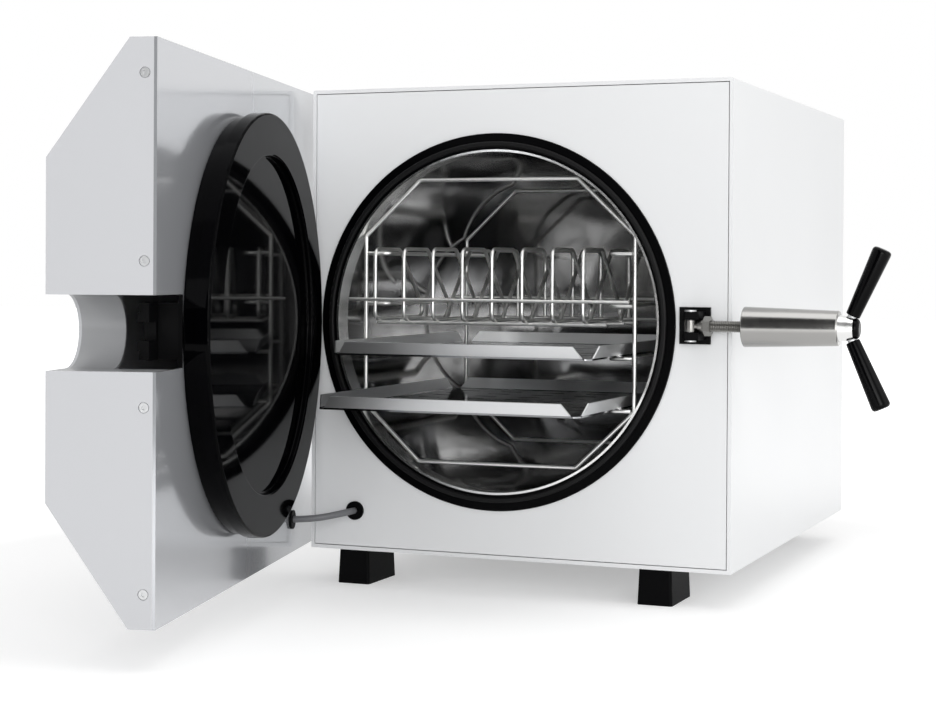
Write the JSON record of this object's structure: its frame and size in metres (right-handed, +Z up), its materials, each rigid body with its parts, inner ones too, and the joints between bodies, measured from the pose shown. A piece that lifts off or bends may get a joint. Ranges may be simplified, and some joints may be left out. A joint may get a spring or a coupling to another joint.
{
  "type": "autoclave",
  "caption": "Bench-top steam steriliser, round chamber with wire rack and trays, side-hung door with a black lid, swing-bolt closure with a two-lever hand nut",
  "frame": {"origin": "floor level under the middle of the whole machine with its door open as pictured", "axes": "X right, Y to the back of the cabinet, Z up; the front panel faces -Y"},
  "size_m": [0.5205, 0.7679, 0.374],
  "materials": {
    "white_paint": "gloss",
    "zinc_steel": "satin",
    "black_rubber": "matte",
    "polished_steel": "polished",
    "black_plastic": "satin",
    "lid_black": "gloss",
    "black_iron": "satin",
    "insulation": "matte",
    "brass": "satin",
    "copper_pipe": "satin",
    "chrome": "polished",
    "cable_grey": "matte",
    "board_green": "matte",
    "key_white": "gloss"
  },
  "bodies": {
    "cabinet": {"casing": "white_paint", "rear_screws": "zinc_steel", "base_pan": "white_paint", "front_panel": "white_paint", "rear_panel": "white_paint", "feet": "black_rubber", "foot_screws": "zinc_steel", "chamber_vessel": "polished_steel", "chamber_flange": "polished_steel", "mouth_ring": "black_plastic", "mouth_gasket": "black_rubber", "chamber_saddles": "zinc_steel", "band_heater": "copper_pipe", "insulation_jacket": "insulation", "temperature_probe": "polished_steel", "safety_valve": "brass", "solenoid_valve": "black_plastic", "steam_pipe": "copper_pipe", "drain_spigot": "brass", "control_board": "board_green", "power_inlet": "black_plastic", "hinge_leaf": "zinc_steel", "hinge_pin": "zinc_steel", "hinge_screws": "zinc_steel", "closure_clevis": "black_iron", "clevis_pin": "zinc_steel", "panel_grommet": "black_rubber", "door_cable": "cable_grey"},
    "door": {"door_cover": "white_paint", "notch_liner": "white_paint", "door_inner_plate": "white_paint", "door_screws": "zinc_steel", "lid_plate": "lid_black", "lid_yoke": "black_iron", "lid_bolts": "zinc_steel", "door_grommet": "black_rubber", "control_fascia": "black_plastic", "display_window": "lid_black", "display_board": "board_green", "status_lights": "key_white"},
    "start_key": {"start_button": "key_white"},
    "mode_key": {"mode_button": "key_white"},
    "stop_key": {"stop_button": "key_white"},
    "mains_rocker": {"rocker_switch": "black_plastic"},
    "bolt": {"swing_bolt": "chrome", "lock_nut": "chrome"},
    "washer": {"thrust_washer": "chrome"},
    "hand_nut": {"clamp_nut": "polished_steel", "handle_hub": "polished_steel", "hub_cap": "polished_steel", "levers": "black_plastic", "lever_studs": "zinc_steel"},
    "rack": {"rack_front_frame": "polished_steel", "rack_rear_frame": "polished_steel", "rack_rails": "polished_steel"},
    "pouch_rack": {"pouch_front_hoops": "polished_steel", "pouch_rear_hoops": "polished_steel", "pouch_bars": "polished_steel"},
    "upper_shelf": {"upper_tray": "polished_steel"},
    "lower_shelf": {"lower_tray": "polished_steel"}
  },
  "joints": [
    {"name": "door_hinge", "type": "hinge", "parent": "cabinet", "child": "door", "pos_m": [-0.1718, -0.0414, 0.2], "axis": [0, 0, -1], "range_deg": [-77.3, 12.7], "deforming": ["door_cable"]},
    {"name": "bolt_swing", "type": "hinge", "parent": "cabinet", "child": "bolt", "pos_m": [0.1219, -0.0404, 0.2], "axis": [0, 0, 1], "range_deg": [-90, 0]},
    {"name": "clamp_travel", "type": "slide", "parent": "bolt", "child": "washer", "axis": [1, 0, 0], "range_m": [-0.0027, 0.008]},
    {"name": "clamp_spin", "type": "hinge", "parent": "washer", "child": "hand_nut", "pos_m": [0.1719, -0.0404, 0.2], "axis": [1, 0, 0], "range_deg": [-778, 2305]},
    {"name": "rack_slide", "type": "slide", "parent": "cabinet", "child": "rack", "axis": [0, -1, 0], "range_m": [0, 0.018]},
    {"name": "pouch_slide", "type": "slide", "parent": "rack", "child": "pouch_rack", "axis": [0, -1, 0], "range_m": [0, 0.038]},
    {"name": "upper_tray_slide", "type": "slide", "parent": "rack", "child": "upper_shelf", "axis": [0, -1, 0], "range_m": [-0.0735, 0.0125]},
    {"name": "lower_tray_slide", "type": "slide", "parent": "rack", "child": "lower_shelf", "axis": [0, -1, 0], "range_m": [-0.125, 0.021]},
    {"name": "start_press", "type": "slide", "parent": "door", "child": "start_key", "axis": [0.9755, 0.2198, 0], "range_m": [0, 0.0008], "stiffness_N_per_m": 400},
    {"name": "mode_press", "type": "slide", "parent": "door", "child": "mode_key", "axis": [0.9755, 0.2198, 0], "range_m": [0, 0.0008], "stiffness_N_per_m": 400},
    {"name": "stop_press", "type": "slide", "parent": "door", "child": "stop_key", "axis": [0.9755, 0.2198, 0], "range_m": [0, 0.0008], "stiffness_N_per_m": 400},
    {"name": "mains_rock", "type": "hinge", "parent": "cabinet", "child": "mains_rocker", "pos_m": [0.0915, 0.368, 0.106], "axis": [-1, 0, 0], "range_deg": [0, 14]}
  ],
  "couplings": [
    {"joint": "clamp_spin", "follows": "clamp_travel", "rad_per_m": 5026.5},
    {"joint": "upper_tray_slide", "follows": "door_hinge", "m_per_rad": 0.0541},
    {"joint": "lower_tray_slide", "follows": "door_hinge", "m_per_rad": 0.092}
  ]
}
